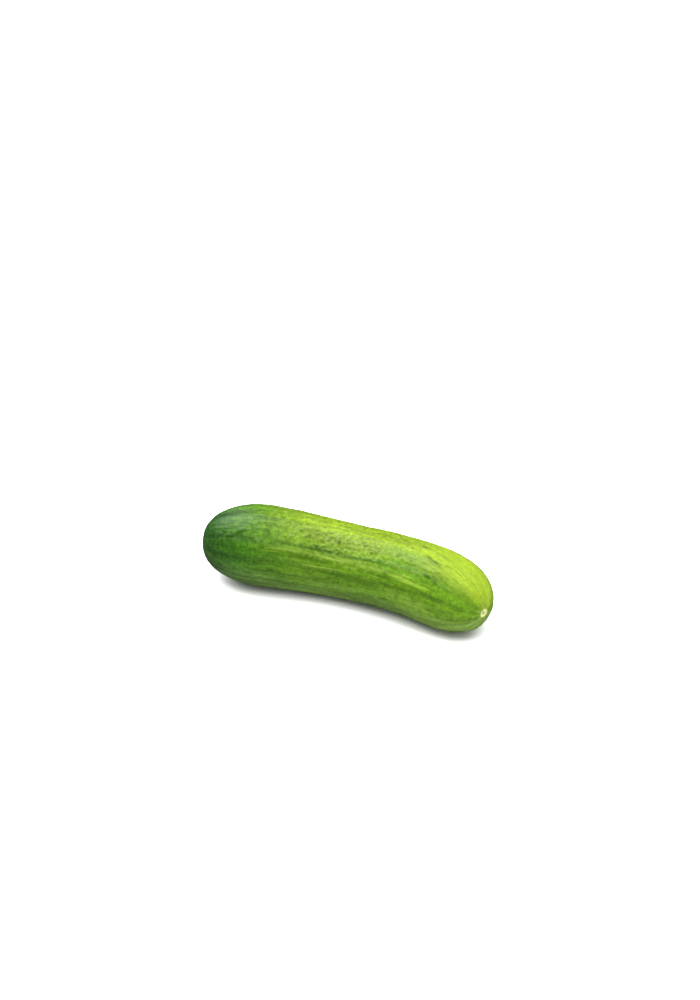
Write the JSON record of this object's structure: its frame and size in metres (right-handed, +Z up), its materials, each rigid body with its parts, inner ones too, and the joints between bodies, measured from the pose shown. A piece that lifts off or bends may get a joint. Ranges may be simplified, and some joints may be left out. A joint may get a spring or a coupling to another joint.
{
  "type": "cucumber",
  "caption": "Whole mini cucumber, smooth-skinned and slightly hooked, lying on its side on a narrow flat that its own weight presses into the belly.",
  "frame": {"origin": "on the surface that the cucumber rests on, below the middle of its box", "axes": "+X from the stem end to the blossom end, along the straight line between the two tips; +Z up, away from the surface; the blossom end hooks towards -Y"},
  "size_m": [0.1482, 0.0454, 0.04],
  "materials": {
    "skin": "satin"
  },
  "bodies": {
    "root": {"cucumber": "skin"}
  },
  "joints": []
}
